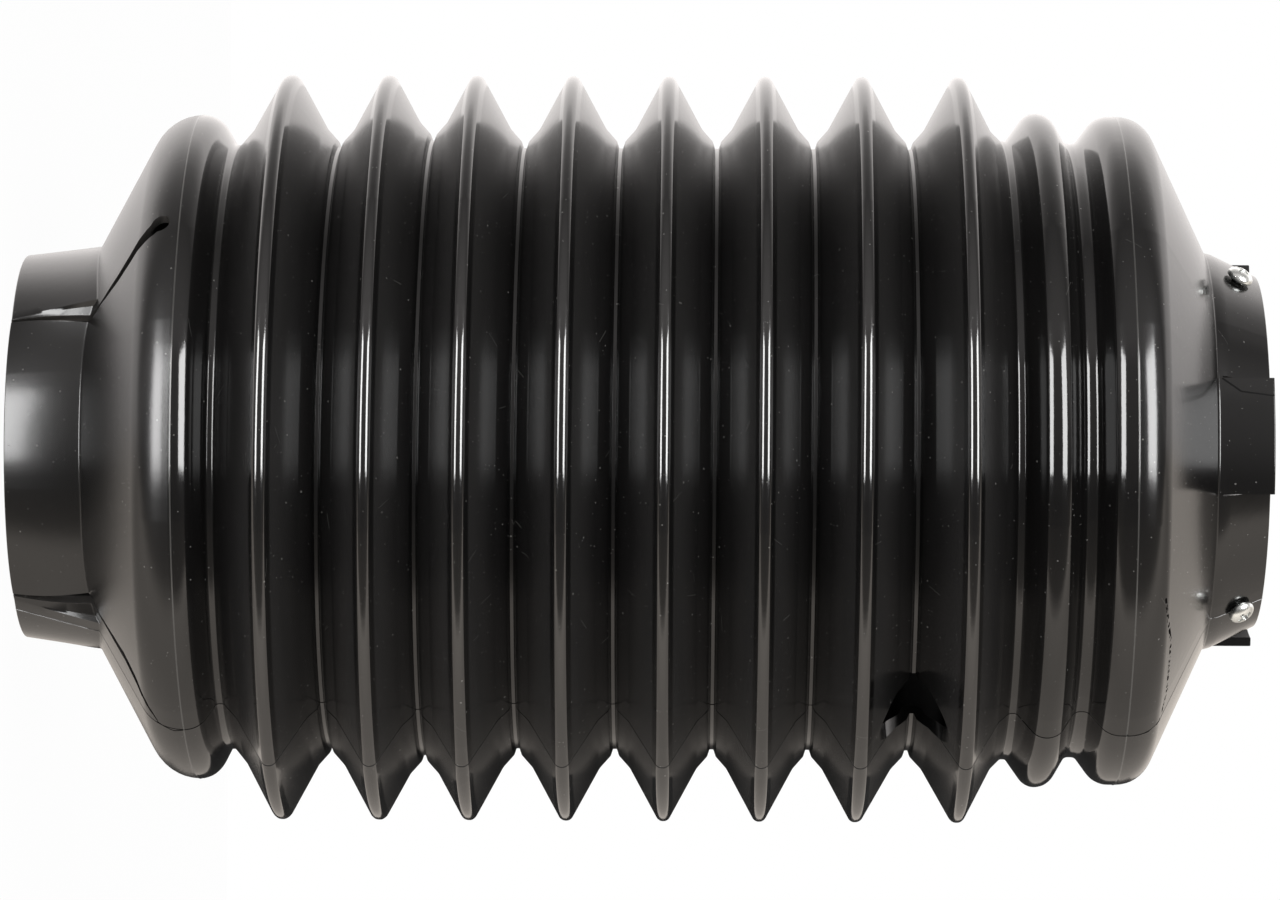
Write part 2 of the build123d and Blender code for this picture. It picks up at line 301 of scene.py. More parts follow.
def wall_mesh(name):
    """The section set out column by column, with faces that remember the inner side and the parting lines."""
    r, z = rows[:, 0], rows[:, 1]
    is_outer = np.zeros(len(rows), bool)
    is_outer[: int(np.argmax(rows[:, 1]))] = True
    grid = []
    for turn in turns:
        cr = np.minimum(r + np.where(is_outer, seam_lift(turn, len(rows)), 0), CREST)
        cz = z + sway(z, turn)
        lean, round_ = foot_bend(turn)
        start = -FOOT_ROOT + ROOT_RING + (round_ * math.tan(lean / 2) if lean > 0.2 else 0)
        cr, cz = bent(cr, cz, FOOT_RADIUS, start, -1, lean, round_, FOOT_STRETCH)
        cr, cz = bent(cr, cz, HEAD_RADIUS, HEAD_ROOT + ROOT_RING, 1, head_lean(turn), HEAD_BEND, HEAD_STRETCH)
        wider, higher = crease_bow(z, turn)
        cr, cz = cr + wider, cz + higher
        a = math.radians(turn)
        grid.append(np.column_stack((cr * math.cos(a), cr * math.sin(a), cz)))
    verts = np.concatenate(grid) * MM
    count, around = len(rows), len(turns)
    faces = []
    for j in range(around):
        k = (j + 1) % around
        for i in range(count):
            m = (i + 1) % count
            faces.append((j * count + i, k * count + i, k * count + m, j * count + m))
    mesh = bpy.data.meshes.new(name)
    mesh.from_pydata(verts.tolist(), [], faces)
    mesh.update()
    middle = (rows + np.roll(rows, -1, axis=0)) / 2
    on_line = [r > FOOT_SHOULDER[0] - 0.1 and min(abs(z - h) for _, h in PARTINGS) < 0.16 for r, z in middle]
    for label, marks in (("inside", ~is_outer), ("parting", on_line)):
        layer = mesh.attributes.new(label, "FLOAT", "FACE")
        layer.data.foreach_set("value", np.tile(marks, around).astype(np.float32))
    return mesh


def add(name, mesh):
    piece = bpy.data.objects.new(name, mesh)
    bpy.context.scene.collection.objects.link(piece)
    return piece


boot = add("bellows_wall", wall_mesh("bellows_wall"))
print("wall", len(boot.data.vertices), "vertices")

# %% [markdown]
# ## Cuts
# The collars were slit after moulding, so the cuts go straight through: four at the foot, each a wedge that
# becomes a narrow cut, six beside the head's tabs, three screw holes and the vent. The foot's cuts end in
# round stops, apart from one that tore on past its stop.
# All the cutters are closed prisms that don't touch, so one boolean takes them together.
# %% Cutters
def prism(bm, outline, place, near_end, far_end, torn=0.0):
    """A closed prism: an outline in the local X and Y of place, from near_end to far_end along its Z."""
    layer = bm.faces.layers.float["torn"]
    rings = [[bm.verts.new(place @ Vector((x, y, d))) for x, y in outline] for d in (near_end, far_end)]
    sides = [bm.faces.new(rings[0][::-1]), bm.faces.new(rings[1])]
    for n in range(len(outline)):
        m = (n + 1) % len(outline)
        sides.append(bm.faces.new((rings[0][n], rings[0][m], rings[1][m], rings[1][n])))
    for side in sides:
        side[layer] = torn


def facing(turn, height, tilt=0.0, radius=0.0):
    """Local X runs round the axis, local Z points away from it, tilted up by tilt."""
    a = math.radians(turn)
    out = Vector((math.cos(a), math.sin(a), 0))
    round_axis = Vector((-math.sin(a), math.cos(a), 0))
    z_axis = out * math.cos(tilt) + Vector((0, 0, math.sin(tilt)))
    y_axis = z_axis.cross(round_axis)
    place = Matrix((round_axis, y_axis, z_axis)).transposed().to_4x4()
    place.translation = out * radius + Vector((0, 0, height))
    return place


def disc(radius, count):
    angles = np.linspace(0, 2 * math.pi, count, endpoint=False)
    return [(radius * math.cos(t), radius * math.sin(t)) for t in angles]


def slit_outline(notch, run, stop, seed):
    """A wedge from the rim to two notch corners, a cut along its run of places, and a round stop."""
    left, right, rim = notch
    end_x, end_z, end_half = run[-1]
    up = [(x + half, z) for x, z, half in run]
    down = [(x - half, z) for x, z, half in reversed(run)]
    tip = []
    if stop:
        lean = math.atan2(end_x - run[-2][0], end_z - run[-2][1])
        gap = math.asin(min(end_half / stop, 1))
        for t in np.linspace(-math.pi / 2 + gap, 1.5 * math.pi - gap, 22):
            tip.append((end_x + stop * math.cos(t - lean), end_z + stop * math.sin(t - lean)))
        up, down = up[:-1], down[1:]
    cut_edge = [right] + up + tip + down + [left]
    draws = np.random.default_rng(seed)
    rough = []
    for here, there in zip(cut_edge, cut_edge[1:]):
        steps = max(1, round(math.dist(here, there) / 1.1))
        for n in range(steps):
            shift = draws.uniform(-0.12, 0.12, 2) if n else (0, 0)
            rough.append(tuple(np.array(here) + (np.array(there) - here) * n / steps + shift))
    return [(rim - 0.2, -3), (rim + 0.2, -3)] + rough + [left]


# Each slit: its notch's left and right corner and its place at the rim, the run of the cut as places
# (across, height, half width), and the radius of its round stop.
bowed_slit = (
    ((2.5, 24.5), (4.2, 23.8), 0.3),
    [(3.4, 25.6, 0.5), (3.0, 32.0, 1.3), (1.2, 39.0, 1.9), (-1.6, 44.0, 2.0)],
    2.7)
torn_slit = (
    ((-6.4, 23.8), (-3.4, 24.5), -1.0),
    [(-4.3, 25.6, 0.6), (-4.6, 33.0, 1.5), (-2.3, 36.5, 1.6), (2.5, 39.5, 1.0), (7.0, 42.2, 0.3)],
    0)
plain_slit = (
    ((-1.6, 22.5), (1.6, 22.5), 0.0),
    [(0, 24.0, SLIT_HALF), (0, 34.0, SLIT_HALF), (0, SLIT_TOP, SLIT_HALF)],
    SLIT_STOP)
slit_shapes = [bowed_slit, torn_slit, plain_slit, plain_slit]


up_the_flap = (LENGTH - HEAD_ROOT - ROOT_RING - 0.4) / 2
seat_radius = HEAD_RADIUS - up_the_flap * math.tan(HEAD_LEAN)
seat_height = HEAD_ROOT + ROOT_RING + up_the_flap


def seat(turn):
    """The middle of a head flap's outer face, with local Z along the flap's normal."""
    return facing(turn, seat_height, HEAD_LEAN, seat_radius)


cutter_bm = bmesh.new()
cutter_bm.faces.layers.float.new("torn")
for n, (turn, shape) in enumerate(zip(slit_angles, slit_shapes)):
    prism(cutter_bm, slit_outline(*shape, seed=n), facing(turn, 0), 30, 120, torn=1.0)
for turn in tab_angles:
    for side in (-1, 1):
        h = TAB_SLIT / 2
        box = [(-h, HEAD_ROOT + ROOT_RING), (h, HEAD_ROOT + ROOT_RING), (h, LENGTH + 3), (-h, LENGTH + 3)]
        prism(cutter_bm, box, facing(turn + side * TAB_ARC / 2, 0), 30, 70)
for turn in flap_angles:
    prism(cutter_bm, disc(SCREW_HOLE, 24), seat(turn), -5, 5)
prism(cutter_bm, disc(VENT_RADIUS, 72), facing(VENT_ANGLE, vent_height), 60, 120)
bmesh.ops.scale(cutter_bm, vec=(MM, MM, MM), verts=cutter_bm.verts)
cutter_mesh = bpy.data.meshes.new("cutters")
cutter_bm.to_mesh(cutter_mesh)
cutter_bm.free()
cutter = add("cutters", cutter_mesh)


# %% Cut, then clean up
def applied(piece):
    """The piece's mesh with its modifiers made real."""
    graph = bpy.context.evaluated_depsgraph_get()
    made = bpy.data.meshes.new_from_object(piece.evaluated_get(graph))
    piece.modifiers.clear()
    old, piece.data = piece.data, made
    bpy.data.meshes.remove(old)
    return piece


def cut_by(piece, tool, solver):
    """The tool's shape taken out of the piece, and the tool put away."""
    cut = piece.modifiers.new("cut", "BOOLEAN")
    cut.operation, cut.object, cut.solver = "DIFFERENCE", tool, solver
    applied(piece)
    bpy.data.objects.remove(tool)


cut_by(boot, cutter, "MANIFOLD")
print("cut wall", len(boot.data.vertices), "vertices", len(boot.data.polygons), "faces")


def finish_mesh(piece, sharp=35):
    piece.data.polygons.foreach_set("use_smooth", [True] * len(piece.data.polygons))
    bm = bmesh.new()
    bm.from_mesh(piece.data)
    for edge in bm.edges:
        edge.smooth = len(edge.link_faces) == 2 and edge.calc_face_angle(0) < math.radians(sharp)
    bm.to_mesh(piece.data)
    bm.free()
    weight = piece.modifiers.new("even_normals", "WEIGHTED_NORMAL")
    weight.keep_sharp, weight.weight = True, 50


finish_mesh(boot)

# %% [markdown]
# ## Screws
# The head flaps carry pan-head tapping screws with a cross recess. Head and shank are one revolved mesh. The
# thread is a ridge that climbs one pitch a turn, made by moving the shank's own points, and the recess is cut
# with a tapered cross.
# %% Screw sizes
HEAD_LINE = [
    (0.0, 3.4), (1.0, 3.37), (1.9, 3.2), (2.7, 2.85), (3.25, 2.4),
    (3.58, 1.95), (3.72, 1.5), (3.75, 1.1), (3.72, 0.9), (3.6, 0.8)]
UNDERCUT, SHANK, SHANK_TOP, SHANK_STEP, SHANK_ROWS = (2.2, 0.8), 1.95, 0.72, 0.11, 70
TIP, TIP_ROWS, POINT = 1.5, 12, -8.7
THREAD_PITCH, THREAD_DEPTH, THREAD_HALF = 1.35, 0.5, 0.26
SCREW_COLUMNS = 40
CROSS_REACH, CROSS_HALF, CROSS_CORNER = 2.15, 0.52, 0.8
CROSS_LEVELS = ((3.6, 1.06), (2.2, 0.72), (1.55, 0.34))


# %% Screw helpers
def loft(bm, levels):
    """Quads between rings of points. A ring of one point closes to a fan."""
    for low, high in zip(levels, levels[1:]):
        around = max(len(low), len(high))
        for n in range(around):
            m = (n + 1) % around
            corner = [low[n % len(low)], high[n % len(high)], high[m % len(high)], low[m % len(low)]]
            bm.faces.new(list(dict.fromkeys(corner)))


def added(name, bm):
    """The finished bmesh as a piece of the scene."""
    bmesh.ops.recalc_face_normals(bm, faces=bm.faces)
    mesh = bpy.data.meshes.new(name)
    bm.to_mesh(mesh)
    bm.free()
    return add(name, mesh)


def threaded(name):
    shank = [(SHANK, SHANK_TOP - SHANK_STEP * n) for n in range(SHANK_ROWS)]
    shares = [n / TIP_ROWS for n in range(1, TIP_ROWS + 1)]
    tip = [(SHANK - TIP * share ** 1.2, shank[-1][1] - TIP * share) for share in shares]
    bm = bmesh.new()
    rings = []
    for r, z in HEAD_LINE + [UNDERCUT] + shank + tip + [(0.0, POINT)]:
        spot = []
        for n in range(SCREW_COLUMNS if r else 1):
            phase = (z / THREAD_PITCH - n / SCREW_COLUMNS) % 1
            ridge = max(0.0, 1 - abs(phase - 0.5) / THREAD_HALF)
            depth = THREAD_DEPTH * (1 - ridge) if z < THREAD_DEPTH and r > THREAD_DEPTH else 0.0
            a = 2 * math.pi * n / SCREW_COLUMNS
            spot.append(bm.verts.new(((r - depth) * math.cos(a), (r - depth) * math.sin(a), z)))
        rings.append(spot)
    loft(bm, rings)
    return added(name, bm)


def cross_tool():
    """A tapered cross: each quarter turn repeats one wing and the corner beside it."""
    wing = [(CROSS_REACH, -CROSS_HALF), (CROSS_REACH, CROSS_HALF)]
    wing += [(CROSS_CORNER, CROSS_HALF + 0.08), (CROSS_HALF + 0.08, CROSS_CORNER)]
    quarters = ((1, 0), (0, 1), (-1, 0), (0, -1))
    cross = [(x * c - y * s, x * s + y * c) for c, s in quarters for x, y in wing]
    bm = bmesh.new()
    levels = [[bm.verts.new((x * grow, y * grow, z)) for x, y in cross] for z, grow in CROSS_LEVELS]
    loft(bm, levels)
    bm.faces.new(levels[0])
    bm.faces.new(levels[-1][::-1])
    return added("recess", bm)


# %% Screws in their seats
def screw(name, turn, spin):
    piece = threaded(name)
    cut_by(piece, cross_tool(), "EXACT")
    piece.data.transform(Matrix.Scale(MM, 4) @ seat(turn) @ Matrix.Rotation(spin, 4, "Z"))
    finish_mesh(piece, 30)
    return piece


spins = (0.55, 0.2, 0.9)
screws = [screw(f"screw_{n}_detailed", *pair) for n, pair in enumerate(zip(flap_angles, spins), 1)]
print("screw faces", [len(s.data.polygons) for s in screws])

# %% [markdown]
# ## Finishes
# Effects that have one clear job are node groups: dust specks, hairlines, orange peel, gloss zones and drawn
# marks. Each gives a mask, a height or a value, and the material decides what to do with it. The mould was
# polished at the crests, the bead and the shoulders only, so the flanks between the crests are satin.
# %% Node helpers
def new_group(name, inputs, outputs):
    """An empty group: a number makes a number socket, three numbers make a vector socket."""
    tree = bpy.data.node_groups.new(name, "ShaderNodeTree")
    for label, value in inputs:
        kind = "NodeSocketVector" if isinstance(value, tuple) else "NodeSocketFloat"
        tree.interface.new_socket(label, in_out="INPUT", socket_type=kind).default_value = value
    for label in outputs:
        tree.interface.new_socket(label, in_out="OUTPUT", socket_type="NodeSocketFloat")
    return tree, tree.nodes.new("NodeGroupInput"), tree.nodes.new("NodeGroupOutput")


def feed(tree, made, inputs):
    """Link or set a node's inputs. A label is the socket's name, or i and its number."""
    for label, value in inputs.items():
        numbered = label[0] == "i" and label[1:].isdigit()
        socket = made.inputs[int(label[1:]) if numbered else label.replace("_", " ")]
        if isinstance(value, bpy.types.NodeSocket):
            tree.links.new(value, socket)
        else:
            socket.default_value = value
    return made


def node(tree, kind, settings=None, **inputs):
    made = tree.nodes.new("ShaderNode" + kind)
    for label, value in (settings or {}).items():
        setattr(made, label, value)
    return feed(tree, made, inputs)


def place_group(tree, group, **inputs):
    made = tree.nodes.new("ShaderNodeGroup")
    made.node_tree = group
    return feed(tree, made, inputs).outputs


def object_place(tree):
    return node(tree, "TexCoord").outputs["Object"]


def math_node(tree, operation, *values, clamp=False):
    inputs = {f"i{n}": value for n, value in enumerate(values)}
    return node(tree, "Math", {"operation": operation, "use_clamp": clamp}, **inputs).outputs[0]


def vector_node(tree, operation, *vectors, result="Vector"):
    inputs = {f"i{n}": value for n, value in enumerate(vectors)}
    return node(tree, "VectorMath", {"operation": operation}, **inputs).outputs[result]


def smooth_step(tree, value, start, end):
    return node(tree, "MapRange", {"interpolation_type": "SMOOTHSTEP"}, i0=value, i1=start, i2=end).outputs[0]


def mix_colour(tree, share, first, second):
    return node(tree, "Mix", {"data_type": "RGBA"}, i0=share, i6=first, i7=second).outputs[2]


def strongest(tree, masks):
    """One mask from pairs of a mask and its strength."""
    total = None
    for mask, strength in masks:
        scaled = mask if strength == 1 else math_node(tree, "MULTIPLY", mask, strength)
        total = scaled if total is None else math_node(tree, "MAXIMUM", total, scaled)
    return total


def fill_ramp(ramp, stops):
    """Give a colour ramp its stops: a place from 0 to 1, and a colour."""
    while len(ramp.elements) < len(stops):
        ramp.elements.new(0.5)
    for point, (place, colour) in zip(ramp.elements, stops):
        point.position, point.color = place, (*colour, 1)


# %% Dust specks
def dust_group():
    inputs = [("Spacing", 260.0), ("Size", 0.07), ("Amount", 0.3)]
    tree, given, out = new_group("dust_specks", inputs, ["Mask"])
    spacing, size, amount = given.outputs[:3]
    cells = node(tree, "TexVoronoi", {"feature": "F1"}, Vector=object_place(tree), Scale=spacing).outputs
    tone = node(tree, "SeparateColor", Color=cells["Color"]).outputs
    small = math_node(tree, "LESS_THAN", cells["Distance"], math_node(tree, "MULTIPLY", tone[0], size))
    chosen = math_node(tree, "LESS_THAN", tone[1], amount)
    tree.links.new(math_node(tree, "MULTIPLY", small, chosen), out.inputs[0])
    return tree


dust = dust_group()


# %% Hairline scratches
def scratch_group():
    inputs = [("Scale", 80.0), ("Width", 0.00006), ("Length", 0.2), ("Share", 0.5)]
    tree, given, out = new_group("hairline_scratches", inputs, ["Mask"])
    scale, width, length, share = given.outputs[:4]
    place = object_place(tree)
    cells = node(tree, "TexVoronoi", {"feature": "F1"}, Vector=place, Scale=scale).outputs
    local = vector_node(tree, "SUBTRACT", place, cells["Position"])
    spread = vector_node(tree, "SUBTRACT", cells["Color"], (0.5, 0.5, 0.5))
    across = vector_node(tree, "NORMALIZE", spread)
    off = math_node(tree, "ABSOLUTE", vector_node(tree, "DOT_PRODUCT", local, across, result="Value"))
    line = math_node(tree, "LESS_THAN", off, width)
    short = math_node(tree, "LESS_THAN", cells["Distance"], length)
    chosen = math_node(tree, "LESS_THAN", node(tree, "SeparateColor", Color=cells["Color"]).outputs[1], share)
    mask = math_node(tree, "MULTIPLY", math_node(tree, "MULTIPLY", line, short), chosen)
    tree.links.new(mask, out.inputs[0])
    return tree


scratches = scratch_group()


# %% Orange peel
def peel_group():
    tree, given, out = new_group("orange_peel", [("Scale", 420.0), ("Fine", 2600.0)], ["Height"])
    place = object_place(tree)
    soft = node(tree, "TexNoise", Vector=place, Scale=given.outputs["Scale"], Detail=2.0).outputs["Fac"]
    fine = node(tree, "TexNoise", Vector=place, Scale=given.outputs["Fine"], Detail=1.0).outputs["Fac"]
    tree.links.new(math_node(tree, "MULTIPLY_ADD", fine, 0.18, soft), out.inputs[0])
    return tree


peel = peel_group()

# %% Gloss zones
# Roughness by height: the foot collar, its cone, the polished shoulders and bead, the head cone and collar.
GLOSS = [
    (0, 0.21), (20, 0.21), (22, 0.24), (49.0, 0.23),
    (49.6, 0.085), (303.2, 0.08), (303.8, 0.15), (LENGTH, 0.15)]
SATIN_FOOT, SATIN_HEAD = (58.8, 60.2), (272.2, 270.5)  # where satin fades in, at either end of the folds
EDGE_BLEND = 0.5  # how far the crests' polish fades, either side of its edge
BLOOM_SHADE_RADII = (86.0, 99.0)  # the satin's pale bloom fades to black towards the valleys: painted shade in the valleys


def zone_group():
    """Roughness, the pale bloom on the satin flanks with painted shade towards the valleys, and where the
    polished crests are.
    """
    outputs = ["Roughness", "Bloom_and_shade", "Crest"]
    tree, given, out = new_group("gloss_zones", [("Satin", 0.18), ("Edge", 0.1013)], outputs)
    place = object_place(tree)
    height = node(tree, "SeparateXYZ", Vector=place).outputs[2]
    radius = vector_node(tree, "LENGTH", vector_node(tree, "MULTIPLY", place, (1, 1, 0)), result="Value")
    levels = node(tree, "ValToRGB", Fac=math_node(tree, "DIVIDE", height, LENGTH * MM))
    fill_ramp(levels.color_ramp, [(z / LENGTH, (level, level, level)) for z, level in GLOSS])
    low, high = (smooth_step(tree, height, start * MM, end * MM) for start, end in (SATIN_FOOT, SATIN_HEAD))
    below = math_node(tree, "SUBTRACT", given.outputs["Edge"], EDGE_BLEND * MM)
    above = math_node(tree, "ADD", given.outputs["Edge"], EDGE_BLEND * MM)
    folds = math_node(tree, "MULTIPLY", low, high)
    satin = math_node(tree, "MULTIPLY", folds, smooth_step(tree, radius, above, below))
    flank, polished = given.outputs["Satin"], levels.outputs["Color"]
    rough = node(tree, "Mix", {"data_type": "FLOAT"}, i0=satin, i2=polished, i3=flank).outputs[0]
    bloom_and_shade = node(tree, "MapRange", i0=radius, i1=BLOOM_SHADE_RADII[0] * MM, i2=BLOOM_SHADE_RADII[1] * MM).outputs[0]
    tree.links.new(rough, out.inputs[0])
    tree.links.new(math_node(tree, "MULTIPLY", satin, bloom_and_shade), out.inputs[1])
    tree.links.new(math_node(tree, "SUBTRACT", folds, satin), out.inputs[2])
    return tree


zones = zone_group()

# %% Drawn marks
UNROLL = 85 * MM  # the wall is unrolled at this radius for drawing on


def mark_group():
    """How near a place is to a straight mark drawn on the unrolled wall."""
    inputs = [("From", (0.0, 0.0, 0.0)), ("To", (0.01, 0.0, 0.0)), ("Width", 0.0002)]
    tree, given, out = new_group("straight_mark", inputs, ["Mask"])
    start, end, width = given.outputs[:3]
    place = node(tree, "SeparateXYZ", Vector=object_place(tree)).outputs
    along = math_node(tree, "MULTIPLY", math_node(tree, "ARCTAN2", place[1], place[0]), UNROLL)
    flat = node(tree, "CombineXYZ", i0=along, i1=place[2]).outputs[0]
    run = vector_node(tree, "SUBTRACT", end, start)
    here = vector_node(tree, "SUBTRACT", flat, start)
    dot = vector_node(tree, "DOT_PRODUCT", here, run, result="Value")
    size = vector_node(tree, "DOT_PRODUCT", run, run, result="Value")
    share = math_node(tree, "DIVIDE", dot, size, clamp=True)
    reached = node(tree, "VectorMath", {"operation": "SCALE"}, i0=run, Scale=share).outputs[0]
    away = vector_node(tree, "DISTANCE", here, reached, result="Value")
    tree.links.new(math_node(tree, "LESS_THAN", away, width), out.inputs[0])
    return tree


mark = mark_group()


def drawn(tree, points, width):
    """One mask for a mark that runs through points, each (height, angle about the axis)."""
    spots = [(math.radians((turn + 180) % 360 - 180) * UNROLL, height * MM, 0.0) for height, turn in points]
    ends = zip(spots, spots[1:])
    pieces = [place_group(tree, mark, From=here, To=there, Width=width * MM)["Mask"] for here, there in ends]
    return strongest(tree, [(piece, 1) for piece in pieces])


# %% Rubber
def new_material(name):
    made = bpy.data.materials.new(name)
    made.use_nodes = True
    tree = made.node_tree
    return made, tree, tree.nodes["Principled BSDF"]


CRACK = [(303.8, 325.2), (312.8, 325.9), (314.2, 319.8), (314.1, 306.5), (311.7, 295.9)]
TAB_CURVE = [(329.3, 249.3), (334.1, 253.0), (342.6, 254.2)]
SEAM_LINE = [(FOOT_ROOT, SEAM), (HEAD_ROOT - 6, SEAM)]
SLIT_HAIR = [(42.0, 325.2), (46.4, 326.2), (48.8, 325.7)]
BLACK, WORN_BLACK = (0.0035, 0.0034, 0.0036, 1), (0.007, 0.0066, 0.0062, 1)
BLOOM_AND_SHADE, FRESH_CUT, PALE_DUST_AND_GLINT = (0.02, 0.0193, 0.0188, 1), (0.05, 0.047, 0.044, 1), (0.2, 0.195, 0.185, 1)


def face_mark(tree, label):
    return node(tree, "Attribute", {"attribute_name": label}).outputs["Fac"]


def cracks(tree, place):
    """The crack at the head is broken up by a noise. The other lines are whole."""
    noise = node(tree, "TexNoise", Vector=place, Scale=700.0).outputs["Fac"]
    dotted = math_node(tree, "GREATER_THAN", noise, 0.5)
    crack = math_node(tree, "MULTIPLY", drawn(tree, CRACK, 0.28), dotted)
    hair, seam, curve = drawn(tree, SLIT_HAIR, 0.2), drawn(tree, SEAM_LINE, 0.2), drawn(tree, TAB_CURVE, 0.35)
    return strongest(tree, [(crack, 1), (hair, 1), (seam, 0.9), (curve, 0.8)])


def rubber():
    made, tree, shader = new_material("moulded_rubber")
    place = object_place(tree)
    specks = place_group(tree, dust, Spacing=700.0, Size=0.1, Amount=0.5)["Mask"]
    dots = place_group(tree, dust, Spacing=340.0, Size=0.09, Amount=1.0)["Mask"]
    lines = place_group(tree, scratches)["Mask"]
    height = place_group(tree, peel)["Height"]
    zone = place_group(tree, zones)
    torn, parting, inside = (face_mark(tree, label) for label in ("torn", "parting", "inside"))
    crack = cracks(tree, place)
    haze = node(tree, "TexNoise", Vector=place, Scale=22.0, Detail=4.0).outputs["Fac"]
    colour = mix_colour(tree, haze, BLACK, WORN_BLACK)
    # The satin flanks' pale bloom is the rubber's own colour; its fade to black towards the valleys is
    # painted shade.
    colour = mix_colour(tree, zone["Bloom_and_shade"], colour, BLOOM_AND_SHADE)
    colour = mix_colour(tree, torn, colour, FRESH_CUT)
    # The parting lines' share of the pale colour is a painted highlight along their ridges; the scratches and
    # specks are pale dust and wear.
    marks = strongest(tree, [(lines, 0.22), (specks, 0.7), (dots, 0.8), (parting, 0.3)])
    tree.links.new(mix_colour(tree, marks, colour, PALE_DUST_AND_GLINT), shader.inputs["Base Color"])
    rough = math_node(tree, "MULTIPLY_ADD", haze, 0.04, zone["Roughness"])
    rough = strongest(tree, [(rough, 1), (torn, 0.27), (inside, 0.6)])
    rough = math_node(tree, "MULTIPLY_ADD", specks, 0.4, rough)
    rough = math_node(tree, "MAXIMUM", rough, math_node(tree, "MULTIPLY", crack, 0.9), clamp=True)
    tree.links.new(rough, shader.inputs["Roughness"])
    gleam = math_node(tree, "MULTIPLY_ADD", zone["Crest"], 0.25, 0.5)
    gleam = math_node(tree, "MULTIPLY_ADD", inside, -0.35, gleam)
    gleam = math_node(tree, "MULTIPLY_ADD", crack, -0.5, gleam, clamp=True)
    tree.links.new(gleam, shader.inputs["Specular IOR Level"])
    bumps = math_node(tree, "MULTIPLY_ADD", math_node(tree, "MULTIPLY", torn, height), 10.0, height)
    bump = node(tree, "Bump", Height=bumps, Strength=0.25, Distance=0.00006)
    tree.links.new(bump.outputs["Normal"], shader.inputs["Normal"])
    return made


rubber_black = rubber()


# %% Zinc
def zinc():
    made, tree, shader = new_material("bright_zinc_plate")
    lines = place_group(tree, scratches, Scale=700.0, Width=0.00002, Length=0.4, Share=0.6)["Mask"]
    height = place_group(tree, peel, Scale=2200.0, Fine=6000.0)["Height"]
    cloud = node(tree, "TexNoise", Vector=object_place(tree), Scale=700.0, Detail=3.0).outputs["Fac"]
    colour = mix_colour(tree, cloud, (0.60, 0.63, 0.62, 1), (0.78, 0.78, 0.76, 1))
    tree.links.new(colour, shader.inputs["Base Color"])
    shader.inputs["Metallic"].default_value = 1.0
    rough = math_node(tree, "MULTIPLY_ADD", cloud, 0.2, 0.16)
    rough = math_node(tree, "MULTIPLY_ADD", lines, 0.2, rough, clamp=True)
    tree.links.new(rough, shader.inputs["Roughness"])
    bump = node(tree, "Bump", Height=height, Strength=0.3, Distance=0.00004)
    tree.links.new(bump.outputs["Normal"], shader.inputs["Normal"])
    return made


zinc_plate = zinc()

# %% Put the finishes on and hang the pieces on the frame
def dress(piece, material, slot, *nodes):
    piece.data.materials.clear()
    piece.data.materials.append(material)
    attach(piece, "root")
    if nodes:
        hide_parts(*nodes)


dress(boot, rubber_black, "moulding", "bellows")
for n, piece in enumerate(screws, 1):
    dress(piece, zinc_plate, "screw_steel", f"screw_{n}")

# %% [markdown]
# ## Studio
# Black gloss shows its surroundings and little else, so the studio matters more than the colour. The boot
# stands on a pale floor in a white room, with the camera's side dark, a pale table below the camera's view
# and two softboxes. What a reflection sees comes from the direction of the ray. The light that falls on
# the object is plain.
# %% World
# Brightness by the angle above the camera's way, in degrees. 0 is behind the camera, 90 is up in the picture.
AROUND = [
    # the table, from the back to its near edge
    (-180, 1.1), (-166, 0.85), (-152, 0.6), (-125, 0.75), (-90, 1.0), (-60, 1.4),
    # the camera's dark side
    (-50, 0.35), (-40, 0.28), (-18, 0.15), (5, 0.38), (28, 0.5), (38, 0.8), (52, 0.72),
    # overhead, then the pale back wall
    (84, 0.34), (110, 0.85), (134, 2.0), (158, 1.6), (180, 1.15)]
TABLE_EDGE, TABLE_TINT, ROOM_TINT = -20, (1.06, 0.97, 0.88), (1.03, 0.985, 0.965)


def sky():
    world = bpy.data.worlds.new("studio")
    bpy.context.scene.world = world
    world.use_nodes = True
    tree = world.node_tree
    tree.nodes.clear()
    way = node(tree, "SeparateXYZ", Vector=node(tree, "TexCoord").outputs["Generated"])
    up, front = (math_node(tree, "MULTIPLY", way.outputs[n], -1.0) for n in (0, 1))
    angle = math_node(tree, "ARCTAN2", up, front)
    share = math_node(tree, "MULTIPLY_ADD", angle, 0.5 / math.pi, 0.5)
    ramp = node(tree, "ValToRGB", Fac=share)
    top = max(level for _, level in AROUND)
    stops = []
    for degrees, level in AROUND:
        warmth = TABLE_TINT if degrees < TABLE_EDGE else ROOM_TINT
        stops.append((degrees / 360 + 0.5, tuple(level / top * part for part in warmth)))
    fill_ramp(ramp.color_ramp, stops)
    seen = node(tree, "Background", Color=ramp.outputs["Color"], Strength=top)
    white = node(tree, "Background", Color=(1, 1, 1, 1), Strength=1.0)
    plain = node(tree, "Background", Color=(1, 1, 1, 1), Strength=0.55)
    ray = node(tree, "LightPath")
    shiny = math_node(tree, "MAXIMUM", ray.outputs["Is Glossy Ray"], ray.outputs["Is Transmission Ray"])
    first = node(tree, "MixShader", i0=shiny, i1=plain.outputs[0], i2=seen.outputs[0])
    last = node(tree, "MixShader", i0=ray.outputs["Is Camera Ray"], i1=first.outputs[0], i2=white.outputs[0])
    tree.links.new(last.outputs[0], node(tree, "OutputWorld").inputs["Surface"])


sky()


# %% Floor
def sheet(name, corners, finish, tone):
    """A flat card of one even, dull colour."""
    mesh = bpy.data.meshes.new(name)
    mesh.from_pydata(corners, [], [(0, 1, 2, 3)])
    piece = add(name, mesh)
    made, tree, shader = new_material(finish)
    shader.inputs["Base Color"].default_value = (tone, tone, tone, 1)
    shader.inputs["Roughness"].default_value = 0.9
    mesh.materials.append(made)
    return piece, tree, shader


